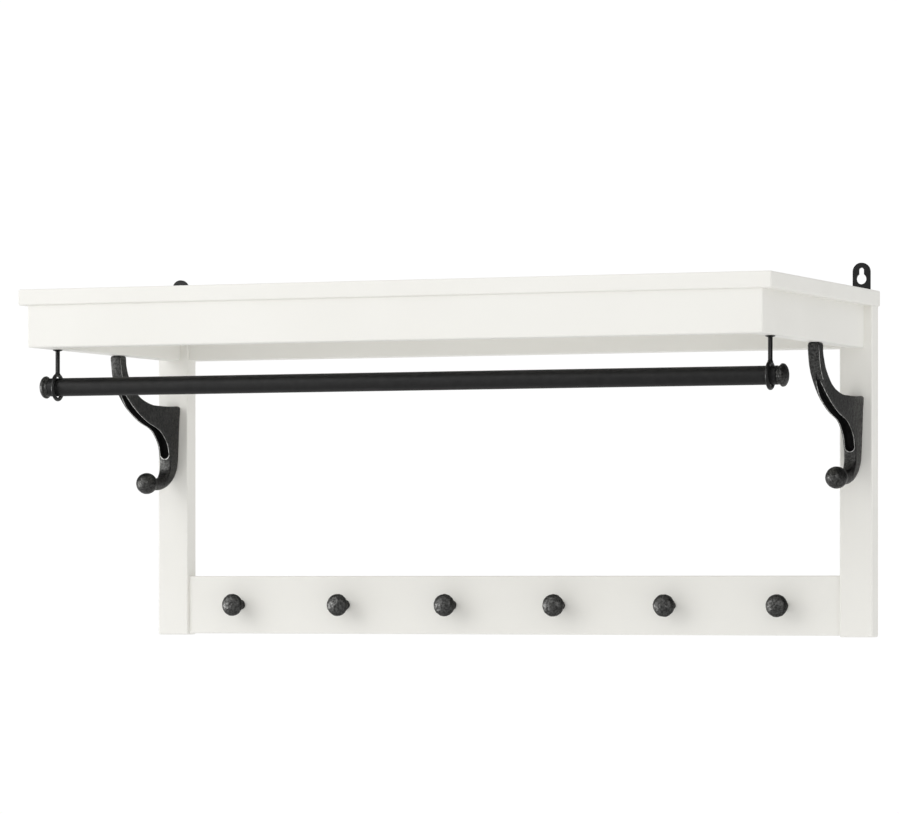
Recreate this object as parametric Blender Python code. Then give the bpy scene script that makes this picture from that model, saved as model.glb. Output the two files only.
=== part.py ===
"""A wall hook rack: a shelf board on a shallow box, carried by two posts and two back rails, with two cast
hook brackets, a row of cast knobs and a round clothes rail that turns in two screw eyes.

Metres. +X is the viewer's right, +Z is up, the wall is the plane Y = 0 and the rack stands out along -Y.
Heights are given above the feet of the posts. At the end an empty moves everything down by ORIGIN_HEIGHT,
so that the origin is the middle of the board's back edge, which bears on the wall.
"""

import math

import bmesh
import bpy
from mathutils import Matrix, Vector

# Driving dimensions
BOARD_WIDTH = 0.850
BOARD_DEPTH = 0.373
BOARD_THICK = 0.0172
TOTAL_HEIGHT = 0.3735  # feet of the posts to the top of the board
WALL_GAP = 0.004  # between the wall and the backs of the posts: room for the heads of wall screws
POST_WIDTH = 0.037
POST_THICK = 0.022
POST_SPAN = 0.848  # over both posts
RAIL_THICK = 0.018  # fascia, side rails and back rails
APRON_HEIGHT = 0.045
FASCIA_WIDTH = 0.830
FASCIA_SETBACK = 0.003  # the board's overhang in front
LOWER_RAIL_BOTTOM = 0.0015
LOWER_RAIL_TOP = 0.0665
ARRIS = 0.0018  # rounding of the boards' long edges
POST_ARRIS = 0.002
GAP = 0.0003  # clearance wherever two pieces meet

KNOB_COUNT = 6
KNOB_PITCH = 0.129
KNOB_REACH = 0.0295  # lower rail's face to the top of a knob's dome

EYE_DEPTH = 0.317  # clothes rail's axis in front of the wall
EYE_HEIGHT = 0.2703
EYE_TURN = math.radians(3)  # a screw eye stops a few degrees past square
EYE_RING_RADIUS = 0.0132  # centre line of the eye
EYE_WIRE = 0.0021
EYE_SHANK = 0.0024
TUBE_RADIUS = 0.00985
TUBE_WALL = 0.0012
TUBE_HALF_LENGTH = 0.4140

PLATE_WIDTH = 0.0195
PLATE_THICK = 0.003
PLATE_RECESS = 0.003  # cut in the post's back, so that the plate lies flush
PLATE_MARGIN = 0.0008  # round the plate in its recess and in the board's notch
PLATE_TOP = 0.404
PLATE_BOTTOM = 0.326
KEYHOLE_HEIGHT = 0.3864
KEYHOLE_RADIUS = 0.0057
KEYHOLE_SLOT = 0.003  # half the slot's width
KEYHOLE_SLOT_TOP = 0.3986

# Worked out from them
POST_X = (POST_SPAN - POST_WIDTH) / 2  # centre line of post, side rail, hook, screw eye and hanger plate
POST_FRONT = -(WALL_GAP + POST_THICK)
RAIL_FRONT = -(WALL_GAP + RAIL_THICK)
BOARD_UNDER = TOTAL_HEIGHT - BOARD_THICK
APRON_TOP = BOARD_UNDER - GAP
APRON_BOTTOM = APRON_TOP - APRON_HEIGHT
FASCIA_FRONT = FASCIA_SETBACK - BOARD_DEPTH
ORIGIN_HEIGHT = TOTAL_HEIGHT - BOARD_THICK / 2
LOWER_RAIL_MIDDLE = (LOWER_RAIL_BOTTOM + LOWER_RAIL_TOP) / 2
RAIL_MIDDLE = (RAIL_FRONT - WALL_GAP) / 2

BACKWARD, FORWARD, UP, DOWN = Vector((0, 1, 0)), Vector((0, -1, 0)), Vector((0, 0, 1)), Vector((0, 0, -1))
SIDES = (("left", -1), ("right", 1))


# Materials

def material(name, color, roughness, metallic=0.0):
    made = bpy.data.materials.new(name)
    made.use_nodes = True
    shader = made.node_tree.nodes["Principled BSDF"]
    shader.inputs["Base Color"].default_value = (*color, 1)
    shader.inputs["Roughness"].default_value = roughness
    shader.inputs["Metallic"].default_value = metallic
    return made


def add_materials():
    return {
        "paint": material("white_paint", (0.87, 0.86, 0.82), 0.45),
        "iron": material("black_cast_iron", (0.035, 0.035, 0.035), 0.55, 0.3),
        "black_steel": material("black_painted_steel", (0.03, 0.03, 0.03), 0.45, 0.2),
        "tube": material("black_tube_lacquer", (0.03, 0.03, 0.032), 0.35, 0.2),
        "steel": material("zinc_plated_steel", (0.60, 0.61, 0.63), 0.35, 1.0),
        "beech": material("beech", (0.72, 0.54, 0.36), 0.7),
    }


# Shapes

def new_object(name, mesh, slot, location=(0, 0, 0)):
    made = bpy.data.objects.new(name, mesh)
    mesh.materials.append(slot)
    made.location = location
    bpy.context.scene.collection.objects.link(made)
    return made


def finish_mesh(bm, name, smooth_angle=35):
    bmesh.ops.recalc_face_normals(bm, faces=bm.faces)
    if bm.calc_volume(signed=True) < 0:
        bmesh.ops.reverse_faces(bm, faces=bm.faces)
    mesh = bpy.data.meshes.new(name)
    bm.to_mesh(mesh)
    bm.free()
    mesh.shade_smooth()
    mesh.set_sharp_from_angle(angle=math.radians(smooth_angle))
    return mesh


def plank(name, low, high, slot, arris, square_faces=()):
    """A board between two corners. Its edges are rounded, except those of the named faces, such as "+Y"."""
    low, high = Vector(low), Vector(high)
    middle = (low + high) / 2
    bm = bmesh.new()
    bmesh.ops.create_cube(bm, size=1, matrix=Matrix.Diagonal((*(high - low), 1)))
    normals = {
        sign + axis: Vector([(1 if sign == "+" else -1) * (axis == letter) for letter in "XYZ"])
        for sign in "+-"
        for axis in "XYZ"
    }
    square = [normals[face] for face in square_faces]
    rounded = [
        edge
        for edge in bm.edges
        if not any(face.normal.dot(normal) > 0.9 for face in edge.link_faces for normal in square)
    ]
    bmesh.ops.bevel(bm, geom=rounded, offset=arris, segments=2, profile=0.5, affect="EDGES")
    return new_object(name, finish_mesh(bm, name, 80), slot, middle)


def turned_mesh(name, profile, direction, steps):
    """A solid turned about its own Z, then aimed along direction. The profile is (radius, distance) pairs,
    from the axis at one end to the axis at the other; a radius of 0 is a point on the axis."""
    bm = bmesh.new()
    rings = []
    for radius, distance in profile:
        if radius == 0:
            rings.append([bm.verts.new((0, 0, distance))])
            continue
        angles = [2 * math.pi * step / steps for step in range(steps)]
        rings.append([bm.verts.new((radius * math.cos(a), radius * math.sin(a), distance)) for a in angles])
    for first, second in zip(rings, rings[1:]):
        for step in range(steps):
            after = (step + 1) % steps
            corners = [first[step % len(first)], first[after % len(first)]]
            corners += [second[after % len(second)], second[step % len(second)]]
            bm.faces.new(list(dict.fromkeys(corners)))
    turn = Vector((0, 0, 1)).rotation_difference(direction).to_matrix().to_4x4()
    bmesh.ops.transform(bm, matrix=turn, verts=bm.verts)
    return finish_mesh(bm, name)


def spline(points, spans):
    """Points along a smooth curve through the given ones (Catmull-Rom), spans to each stretch."""
    points = [Vector(point) for point in points]
    ends = [2 * points[0] - points[1], *points, 2 * points[-1] - points[-2]]
    curve = []
    for before, start, end, after in zip(ends, ends[1:], ends[2:], ends[3:]):
        for step in range(spans):
            t = step / spans
            curve.append(
                0.5
                * (
                    2 * start
                    + (end - before) * t
                    + (2 * before - 5 * start + 4 * end - after) * t**2
                    + (3 * start - before - 3 * end + after) * t**3
                )
            )
    return [*curve, points[-1]]


def loft(bm, loops):
    """Skins a row of closed loops with equal point counts, and caps both ends."""
    rows = [[bm.verts.new(point) for point in loop] for loop in loops]
    for first, second in zip(rows, rows[1:]):
        for step in range(len(first)):
            after = (step + 1) % len(first)
            bm.faces.new((first[step], first[after], second[after], second[step]))
    bm.faces.new(list(reversed(rows[0])))
    bm.faces.new(rows[-1])


def add_boolean(target, operation, other):
    other.hide_render = True
    other.display_type = "WIRE"
    modifier = target.modifiers.new(f"{operation.lower()}_{other.name}", "BOOLEAN")
    modifier.operation = operation
    modifier.solver = "EXACT"
    modifier.object = other


# Woodwork

def add_woodwork(slots):
    paint = slots["paint"]
    half_board, half_span, half_fascia = BOARD_WIDTH / 2, POST_SPAN / 2, FASCIA_WIDTH / 2
    post_inner = half_span - POST_WIDTH
    fascia_back = FASCIA_FRONT + RAIL_THICK
    pieces = {
        "top_board": plank(
            "top_board",
            (-half_board, -BOARD_DEPTH, BOARD_UNDER),
            (half_board, 0, TOTAL_HEIGHT),
            paint,
            ARRIS,
        ),
        "front_fascia": plank(
            "front_fascia",
            (-half_fascia, FASCIA_FRONT, APRON_BOTTOM),
            (half_fascia, fascia_back, APRON_TOP),
            paint,
            ARRIS,
            ("+Y", "+Z"),
        ),
    }
    for name, bottom, top in (
        ("upper_back_rail", APRON_BOTTOM, APRON_TOP),
        ("lower_back_rail", LOWER_RAIL_BOTTOM, LOWER_RAIL_TOP),
    ):
        reach = post_inner - GAP
        corners = (-reach, RAIL_FRONT, bottom), (reach, -WALL_GAP, top)
        pieces[name] = plank(name, *corners, paint, ARRIS, ("+X", "-X"))
    for side, sign in SIDES:
        inner, outer = sorted((sign * post_inner, sign * half_span))
        corners = (inner, POST_FRONT, 0), (outer, -WALL_GAP, APRON_TOP)
        pieces[f"post_{side}"] = plank(f"post_{side}", *corners, paint, POST_ARRIS, ("+Z",))
        middle = sign * POST_X
        corners = (
            (middle - RAIL_THICK / 2, fascia_back + GAP, APRON_BOTTOM),
            (middle + RAIL_THICK / 2, POST_FRONT - GAP, APRON_TOP),
        )
        pieces[f"side_rail_{side}"] = plank(f"side_rail_{side}", *corners, paint, ARRIS, ("+Y", "-Y", "+Z"))
        reach = PLATE_WIDTH / 2 + PLATE_MARGIN
        for cutter, piece, bottom in (
            (f"notch_{side}", "top_board", BOARD_UNDER - 0.005),
            (f"recess_{side}", f"post_{side}", PLATE_BOTTOM - PLATE_MARGIN),
        ):
            front = (middle - reach, -WALL_GAP - PLATE_RECESS, bottom)
            back = (middle + reach, 0.005, TOTAL_HEIGHT + 0.005)
            pieces[cutter] = plank(cutter, front, back, paint, 0.0001)
            add_boolean(pieces[piece], "DIFFERENCE", pieces[cutter])
    return pieces


# Cast hook brackets

# Sections from the top of the arm to the ball: front edge (reach from the post's face, height), back edge
# (reach, height), half width at the front, half width at the back, corner rounding.
HOOK_SECTIONS = (
    ((0.1462, 0.3107), (0.1365, 0.3107), 0.0044, 0.0044, 0.0012),
    ((0.1482, 0.3090), (0.1346, 0.3094), 0.0060, 0.0060, 0.0014),
    ((0.1483, 0.3055), (0.1342, 0.3065), 0.0065, 0.0064, 0.0014),
    ((0.1470, 0.2985), (0.1333, 0.3000), 0.0065, 0.0064, 0.0014),
    ((0.1448, 0.2898), (0.1305, 0.2935), 0.0065, 0.0064, 0.0014),
    ((0.1408, 0.2810), (0.1262, 0.2872), 0.0064, 0.0063, 0.0014),
    ((0.1338, 0.2726), (0.1203, 0.2813), 0.0064, 0.0062, 0.0014),
    ((0.1242, 0.2637), (0.1110, 0.2740), 0.0063, 0.0062, 0.0014),
    ((0.1111, 0.2541), (0.1000, 0.2672), 0.0062, 0.0064, 0.0014),
    ((0.0950, 0.2461), (0.0850, 0.2622), 0.0062, 0.0068, 0.0014),
    ((0.0749, 0.2385), (0.0660, 0.2588), 0.0063, 0.0073, 0.0014),
    ((0.0536, 0.2333), (0.0460, 0.2583), 0.0064, 0.0080, 0.0014),
    ((0.0427, 0.2290), (0.0230, 0.2583), 0.0066, 0.0086, 0.0014),
    ((0.0361, 0.2244), (0.0003, 0.2583), 0.0068, 0.0089, 0.0014),
    ((0.0303, 0.2196), (0.0003, 0.2460), 0.0069, 0.0085, 0.0014),
    ((0.0258, 0.2138), (0.0003, 0.2340), 0.0070, 0.0081, 0.0014),
    ((0.0231, 0.2065), (0.0003, 0.2220), 0.0070, 0.0077, 0.0014),
    ((0.0217, 0.1990), (0.0003, 0.2100), 0.0070, 0.0074, 0.0016),
    ((0.0216, 0.1920), (0.0006, 0.1985), 0.0069, 0.0071, 0.0018),
    ((0.0232, 0.1862), (0.0028, 0.1868), 0.0068, 0.0069, 0.0024),
    ((0.0270, 0.1814), (0.0100, 0.1770), 0.0067, 0.0068, 0.0032),
    ((0.0318, 0.1784), (0.0207, 0.1692), 0.0067, 0.0067, 0.0042),
    ((0.0385, 0.1771), (0.0337, 0.1644), 0.0065, 0.0065, 0.0050),
    ((0.0455, 0.1768), (0.0450, 0.1632), 0.0062, 0.0062, 0.0055),
    ((0.0535, 0.1766), (0.0545, 0.1636), 0.0060, 0.0060, 0.0055),
    ((0.0605, 0.1750), (0.0615, 0.1660), 0.0044, 0.0044, 0.0040),
)
HOOK_CORNER_ANGLES = (0, 45, 90)
HOOK_ARM_SCREW_REACH = 0.1412
HOOK_BALL = (0.0688, 0.1704)  # reach and height of its centre
HOOK_BALL_RADIUS = 0.0119
GROOVE_FIRST, GROOVE_LAST = 5, 17  # the sections between which the front face is channelled
GROOVE_DEPTH = 0.006
GROOVE_RIM = 0.0016
GROOVE_START, GROOVE_END = 0.0012, 0.0007  # how far inside those sections it begins and ends
GROOVE_STEPS = 26


def hook_point(reach_height, across):
    """A point on a hook from its reach off the post's face and its height, before it is moved sideways."""
    reach, height = reach_height
    return Vector((across, POST_FRONT - reach, height))


def hook_loop(front, back, half_front, half_back, rounding):
    """One closed cross-section, a rounded quadrilateral between the front and the back edge."""
    front, back = hook_point(front, 0), hook_point(back, 0)
    inward = (back - front).normalized()
    depth = (back - front).length
    rounding = min(rounding, depth / 2.05, half_front * 0.95)
    loop = []
    for at_back, sign in ((False, 1), (True, 1), (True, -1), (False, -1)):
        half = half_back if at_back else half_front
        corner_depth = depth - rounding if at_back else rounding
        angles = HOOK_CORNER_ANGLES if at_back == (sign > 0) else tuple(reversed(HOOK_CORNER_ANGLES))
        for angle in angles:
            across = half - rounding + rounding * math.cos(math.radians(angle))
            along = rounding * math.sin(math.radians(angle))
            distance = corner_depth + along if at_back else corner_depth - along
            loop.append(front + inward * distance + Vector((sign * across, 0, 0)))
    return loop


def along_path(path, distance):
    """The point at a distance along a polyline, and the direction there."""
    for first, second in zip(path, path[1:]):
        length = (second.xy - first.xy).length
        if distance <= length or second is path[-1]:
            return first.lerp(second, distance / length), (second - first).xy.normalized()
        distance -= length


def groove_loops():
    """Sections of the channel's cutter. It fades in at its upper end, and its lower end is half round."""
    stretch = HOOK_SECTIONS[GROOVE_FIRST : GROOVE_LAST + 1]
    path = spline([(*section[0], section[2]) for section in stretch], 4)
    total = sum((second.xy - first.xy).length for first, second in zip(path, path[1:])) - GROOVE_END
    end_radius = path[-1].z - GROOVE_RIM
    straight = total - end_radius - GROOVE_START
    distances = [GROOVE_START + straight * step / GROOVE_STEPS for step in range(GROOVE_STEPS + 1)]
    shares = [1] * len(distances)
    for angle in (15, 30, 45, 60, 75, 84):
        distances.append(total - end_radius * (1 - math.sin(math.radians(angle))))
        shares.append(math.cos(math.radians(angle)))
    shares[0] = 0.55
    loops = []
    for distance, share in zip(distances, shares):
        point, ahead = along_path(path, distance)
        inward = Vector((ahead.y, -ahead.x))
        if inward.x > 0:
            inward.negate()
        half = (point.z - GROOVE_RIM) * share
        depth = GROOVE_DEPTH * min(1, 0.12 + (distance - GROOVE_START) / 0.025)
        proud = hook_point(point.xy - inward * 0.002, 0)
        deep = hook_point(point.xy + inward * depth, 0)
        loops.append(
            [proud + Vector((half, 0, 0)), deep + Vector((half * 0.9, 0, 0))]
            + [deep - Vector((half * 0.9, 0, 0)), proud - Vector((half, 0, 0))]
        )
    return loops


def add_hooks(slots):
    body, groove, ball = bmesh.new(), bmesh.new(), bmesh.new()
    loft(body, [hook_loop(*section) for section in HOOK_SECTIONS])
    loft(groove, groove_loops())
    centre = hook_point(HOOK_BALL, 0)
    upright = Matrix.Translation(centre) @ Matrix.Rotation(math.pi / 2, 4, "X")
    bmesh.ops.create_uvsphere(ball, u_segments=20, v_segments=12, radius=HOOK_BALL_RADIUS, matrix=upright)
    meshes = {
        "body": finish_mesh(body, "hook_bracket"),
        "groove": finish_mesh(groove, "hook_groove"),
        "ball": finish_mesh(ball, "hook_ball"),
    }
    hooks = {}
    for side, sign in SIDES:
        place = (sign * POST_X, 0, 0)
        hook = new_object(f"hook_bracket_{side}", meshes["body"].copy(), slots["iron"], place)
        ball_copy = new_object(f"ball_{side}", meshes["ball"].copy(), slots["iron"], place)
        groove_copy = new_object(f"groove_{side}", meshes["groove"].copy(), slots["iron"], place)
        add_boolean(hook, "UNION", ball_copy)
        add_boolean(hook, "DIFFERENCE", groove_copy)
        hooks[f"hook_bracket_{side}"] = hook
        hooks[f"ball_{side}"] = ball_copy
        hooks[f"groove_{side}"] = groove_copy
    return hooks


# Knobs

def knob_profile():
    """From the foot on the rail to the top of the dome: foot flange, waisted stem, rim and shallow dome."""
    foot, waist, rim = 0.0055, 0.0041, 0.0124
    rim_height = 0.0230
    dome = KNOB_REACH - rim_height
    profile = [(0, 0), (foot - 0.0004, 0), (foot, 0.0004), (foot, 0.0016), (0.0047, 0.0026)]
    profile += [(waist, 0.006), (waist, 0.010), (0.0053, 0.0142), (0.0083, 0.0184), (0.0114, 0.0211)]
    profile += [(rim - 0.0002, 0.0221), (rim, rim_height)]
    steps = 5
    for step in range(1, steps):
        angle = math.pi / 2 * step / steps
        profile.append((rim * math.cos(angle), rim_height + dome * math.sin(angle)))
    return [*profile, (0, KNOB_REACH)]


def add_knobs(slots):
    mesh = turned_mesh("knob", knob_profile(), FORWARD, 20)
    knobs = {}
    for index in range(KNOB_COUNT):
        across = (index - (KNOB_COUNT - 1) / 2) * KNOB_PITCH
        name = f"knob_{index + 1}"
        place = (across, RAIL_FRONT - GAP, LOWER_RAIL_MIDDLE)
        knobs[name] = new_object(name, mesh.copy(), slots["iron"], place)
    return knobs


# Clothes rail

def add_screw_eyes(slots):
    """A threaded shank with a small collar, and a ring below it. The rail's end turns inside the ring."""
    eyes = {}
    collar_top = APRON_BOTTOM - GAP - EYE_HEIGHT
    ring_top = EYE_RING_RADIUS - EYE_WIRE * 0.4
    profile = [(0, ring_top), (EYE_SHANK, ring_top + 0.0004), (EYE_SHANK, collar_top - 0.0016)]
    profile += [(0.0052, collar_top - 0.0008), (0.0052, collar_top), (EYE_SHANK - 0.0002, collar_top)]
    profile += [(EYE_SHANK - 0.0002, collar_top + 0.022), (0, collar_top + 0.027)]
    for side, sign in SIDES:
        place = (sign * POST_X, -EYE_DEPTH, EYE_HEIGHT)
        mesh = turned_mesh("screw_eye", profile, UP, 12)
        shank = new_object(f"screw_eye_{side}", mesh, slots["black_steel"], place)
        bm = bmesh.new()
        around, section = 28, 10
        loops = []
        for step in range(around):
            spoke = Matrix.Rotation(2 * math.pi * step / around, 3, "X") @ Vector((0, 0, 1))
            centre = spoke * EYE_RING_RADIUS
            loop = []
            for part in range(section):
                angle = 2 * math.pi * part / section
                loop.append(centre + EYE_WIRE * (spoke * math.cos(angle) + Vector((math.sin(angle), 0, 0))))
            loops.append(loop)
        rows = [[bm.verts.new(point) for point in loop] for loop in loops]
        for first, second in zip(rows, rows[1:] + rows[:1]):
            for part in range(section):
                after = (part + 1) % section
                bm.faces.new((first[part], first[after], second[after], second[part]))
        bmesh.ops.rotate(bm, cent=(0, 0, 0), matrix=Matrix.Rotation(EYE_TURN, 3, "Z"), verts=bm.verts)
        ring = new_object(f"ring_{side}", finish_mesh(bm, "ring"), slots["black_steel"], place)
        add_boolean(shank, "UNION", ring)
        eyes[f"screw_eye_{side}"] = shank
        eyes[f"ring_{side}"] = ring
    return eyes


def finial_profile():
    """Plug, collar, coved flange and shallow dome, with distances outwards from the tube's end."""
    plug, collar, rim = TUBE_RADIUS - TUBE_WALL - GAP, TUBE_RADIUS - 0.0002, 0.0121
    profile = [(0, -0.030), (plug - 0.001, -0.030), (plug, -0.029), (plug, GAP)]
    profile += [(collar, GAP), (collar, 0.0010)]
    profile += [(0.0101, 0.0022), (0.0110, 0.0034), (rim - 0.0004, 0.0040), (rim, 0.0048)]
    dome_start, dome_top, steps = 0.0055, 0.0107, 5
    for step in range(steps):
        angle = math.pi / 2 * step / steps
        across = (rim - 0.0002) * math.cos(angle)
        profile.append((across, dome_start + (dome_top - dome_start) * math.sin(angle)))
    return [*profile, (0, dome_top)]


def add_clothes_rail(slots):
    axis = (0, -EYE_DEPTH, EYE_HEIGHT)
    bm = bmesh.new()
    steps = 28
    angles = [2 * math.pi * step / steps for step in range(steps)]
    rings = []
    for wall, end in ((0, -1), (0, 1), (TUBE_WALL, 1), (TUBE_WALL, -1)):
        radius, distance = TUBE_RADIUS - wall, end * TUBE_HALF_LENGTH
        rings.append([bm.verts.new((distance, radius * math.cos(a), radius * math.sin(a))) for a in angles])
    for first, second in zip(rings, rings[1:] + rings[:1]):
        for step in range(steps):
            after = (step + 1) % steps
            bm.faces.new((first[step], first[after], second[after], second[step]))
    rail = {"rail_tube": new_object("rail_tube", finish_mesh(bm, "rail_tube"), slots["tube"], axis)}
    for side, sign in SIDES:
        outward = Vector((sign, 0, 0))
        mesh = turned_mesh("finial", finial_profile(), outward, 24)
        mesh.transform(Matrix.Translation(outward * TUBE_HALF_LENGTH))
        rail[f"rail_finial_{side}"] = new_object(f"rail_finial_{side}", mesh, slots["iron"], axis)
    return rail


# Hanger plates

def add_hanger_plates(slots):
    """A flat plate with a round top and a keyhole above the board, let into the back of the post."""
    half, chamfer = PLATE_WIDTH / 2, 0.002
    outline = arc((0, PLATE_TOP - half), half, 0, 180, 12)
    outline += [(-half, PLATE_BOTTOM + chamfer), (-half + chamfer, PLATE_BOTTOM)]
    outline += [(half - chamfer, PLATE_BOTTOM), (half, PLATE_BOTTOM + chamfer)]
    mouth = math.degrees(math.asin(KEYHOLE_SLOT / KEYHOLE_RADIUS))
    keyhole = arc((0, KEYHOLE_HEIGHT), KEYHOLE_RADIUS, 90 + mouth, 450 - mouth, 16)
    keyhole += arc((0, KEYHOLE_SLOT_TOP - KEYHOLE_SLOT), KEYHOLE_SLOT, 0, 180, 8)
    front = -WALL_GAP - PLATE_RECESS + GAP
    plates = {}
    for side, sign in SIDES:
        place = (sign * POST_X, 0, 0)
        mesh = slab("hanger_plate", outline, front, PLATE_THICK)
        plate = new_object(f"hanger_plate_{side}", mesh, slots["black_steel"], place)
        mesh = slab("keyhole", keyhole, front - 0.001, PLATE_THICK + 0.002)
        cutter = new_object(f"keyhole_{side}", mesh, slots["black_steel"], place)
        add_boolean(plate, "DIFFERENCE", cutter)
        plates[f"hanger_plate_{side}"] = plate
        plates[f"keyhole_{side}"] = cutter
    return plates


def arc(centre, radius, start, end, steps):
    """Points on an arc between two angles in degrees, both ends included."""
    angles = [math.radians(start + (end - start) * step / steps) for step in range(steps + 1)]
    return [(centre[0] + radius * math.cos(a), centre[1] + radius * math.sin(a)) for a in angles]


def slab(name, outline, front, thick):
    """A closed outline in X and Z, extruded backwards from Y = front."""
    bm = bmesh.new()
    loft(bm, [[Vector((x, y, z)) for x, z in outline] for y in (front, front + thick)])
    return finish_mesh(bm, name)


# Fasteners. Each one cuts its own hole, a little larger, in the pieces that it passes through.

def screw_profile(head_radius, head_length, shank_radius, length):
    """A countersunk screw, measured from the top of its head."""
    return (
        (0, 0),
        (head_radius, 0),
        (head_radius, 0.0003),
        (shank_radius, head_length),
        (shank_radius, length - shank_radius),
        (0, length),
    )


def dowel_profile(radius, length):
    chamfer = 0.001
    return (
        (0, 0),
        (radius - chamfer, 0),
        (radius, chamfer),
        (radius, length - chamfer),
        (radius - chamfer, length),
        (0, length),
    )


def grown(profile):
    """The hole for a fastener: its profile, larger by the clearance on every side."""
    first, *middle, last = profile
    ends = (0, first[1] - 2 * GAP), (middle[0][0] + GAP, first[1] - 2 * GAP)
    return (*ends, *[(radius + GAP, distance) for radius, distance in middle], (0, last[1] + 2 * GAP))


def add_fasteners(pieces, slots):
    fasteners = {}
    holes = {}

    def fasten(name, profile, start, direction, through, slot):
        fasteners[name] = new_object(name, turned_mesh(name, profile, direction, 12), slots[slot], start)
        for piece in through:
            mesh = turned_mesh(name, grown(profile), direction, 12)
            hole = new_object(f"hole_{name}_{piece}", mesh, slots[slot], start)
            holes.setdefault(piece, []).append(hole)

    long_bolt = screw_profile(0.0045, 0.003, 0.0025, 0.036)
    arm_screw = screw_profile(0.0042, 0.003, 0.002, 0.057)
    rail_screw = screw_profile(0.0045, 0.003, 0.0027, 0.050)
    knob_screw = screw_profile(0.0038, 0.0024, 0.002, 0.031)
    plate_screw = screw_profile(0.0034, 0.0018, 0.0016, 0.014)
    dowel = dowel_profile(0.004, 0.028)
    short_dowel = dowel_profile(0.004, 0.022)
    eye_hole = screw_profile(EYE_SHANK, 0.001, EYE_SHANK, 0.029)
    sunk = -WALL_GAP - 0.0004

    for index in range(KNOB_COUNT):
        knob = f"knob_{index + 1}"
        start = (pieces[knob].location.x, sunk, LOWER_RAIL_MIDDLE)
        fasten(f"knob_screw_{index + 1}", knob_screw, start, FORWARD, ("lower_back_rail", knob), "steel")

    for side, sign in SIDES:
        middle = sign * POST_X
        post, side_rail, hook = f"post_{side}", f"side_rail_{side}", f"hook_bracket_{side}"
        for place, height in (("upper", 0.243), ("lower", 0.216)):
            start = (middle, sunk, height)
            fasten(f"hook_bolt_{side}_{place}", long_bolt, start, FORWARD, (post, hook), "steel")
        start = (middle, POST_FRONT - HOOK_ARM_SCREW_REACH, APRON_TOP - 0.0004)
        fasten(f"hook_arm_screw_{side}", arm_screw, start, DOWN, (side_rail, hook), "steel")
        start = (middle, sunk, APRON_BOTTOM + 0.007)
        fasten(f"side_rail_screw_{side}", rail_screw, start, FORWARD, (post, side_rail), "steel")
        for place, height in (("upper", 0.350), ("lower", 0.337)):
            start = (middle, -WALL_GAP, height)
            through = (post, f"hanger_plate_{side}")
            fasten(f"plate_screw_{side}_{place}", plate_screw, start, FORWARD, through, "steel")
        for place, height in (("upper", APRON_TOP - 0.012), ("lower", APRON_BOTTOM + 0.012)):
            start = (middle, FASCIA_FRONT + 0.007, height)
            through = ("front_fascia", side_rail)
            fasten(f"corner_dowel_{side}_{place}", dowel, start, BACKWARD, through, "beech")
        inward = Vector((-sign, 0, 0))
        for rail, heights in (
            ("upper_back_rail", (APRON_BOTTOM + 0.012, APRON_TOP - 0.012)),
            ("lower_back_rail", (LOWER_RAIL_BOTTOM + 0.016, LOWER_RAIL_TOP - 0.016)),
        ):
            for place, height in zip(("lower", "upper"), heights):
                start = (middle - sign * (POST_WIDTH / 2 - 0.011), RAIL_MIDDLE, height)
                name = f"{rail.split('_')[0]}_rail_dowel_{side}_{place}"
                fasten(name, dowel, start, inward, (post, rail), "beech")
        start = (sign * (POST_X + 0.009), POST_FRONT + POST_THICK / 2, BOARD_UNDER + 0.010)
        fasten(f"board_dowel_back_{side}", short_dowel, start, DOWN, (post, "top_board"), "beech")
        start = (sign * 0.2, FASCIA_FRONT + RAIL_THICK / 2, BOARD_UNDER + 0.010)
        through = ("front_fascia", "top_board")
        fasten(f"board_dowel_front_{side}", short_dowel, start, DOWN, through, "beech")
        start = (middle, -EYE_DEPTH, APRON_BOTTOM - 0.0005)
        mesh = turned_mesh("eye_hole", grown(eye_hole), UP, 12)
        hole = new_object(f"hole_eye_{side}", mesh, slots["steel"], start)
        holes.setdefault(side_rail, []).append(hole)

    for piece, cutters in holes.items():
        for cutter in cutters:
            add_boolean(pieces[piece], "DIFFERENCE", cutter)
    return fasteners, [cutter for cutters in holes.values() for cutter in cutters]


def main():
    for item in list(bpy.data.objects):
        bpy.data.objects.remove(item)
    slots = add_materials()
    pieces = {}
    for add in (add_woodwork, add_hooks, add_knobs, add_screw_eyes, add_hanger_plates):
        pieces.update(add(slots))
    rail = add_clothes_rail(slots)
    fasteners, cutters = add_fasteners(pieces, slots)

    origin = bpy.data.objects.new("rack_origin", None)
    bpy.context.scene.collection.objects.link(origin)
    origin.location = (0, 0, -ORIGIN_HEIGHT)
    rail_axis = bpy.data.objects.new("rail_axis", None)
    bpy.context.scene.collection.objects.link(rail_axis)
    rail_axis.location = (0, -EYE_DEPTH, EYE_HEIGHT)
    rail_axis.parent = origin
    for piece in rail.values():
        piece.location = (0, 0, 0)
        piece.parent = rail_axis
    for piece in (*pieces.values(), *fasteners.values(), *cutters):
        piece.parent = origin
        if piece.modifiers:
            piece.modifiers.new("flat_faces_stay_flat", "WEIGHTED_NORMAL")


main()
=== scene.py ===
"""The looks of a wall hook rack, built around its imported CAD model: painted wood, cast iron hooks and knobs,
a lacquered clothes rail, hanger plates and screws. Metres, in the row's frame: +X right, +Z up, and the wall
is the plane Y = 0. Each piece takes its size and place from the CAD nodes that it stands for.
"""

import math

import bmesh
import bpy
from mathutils import Matrix, Vector


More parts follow.
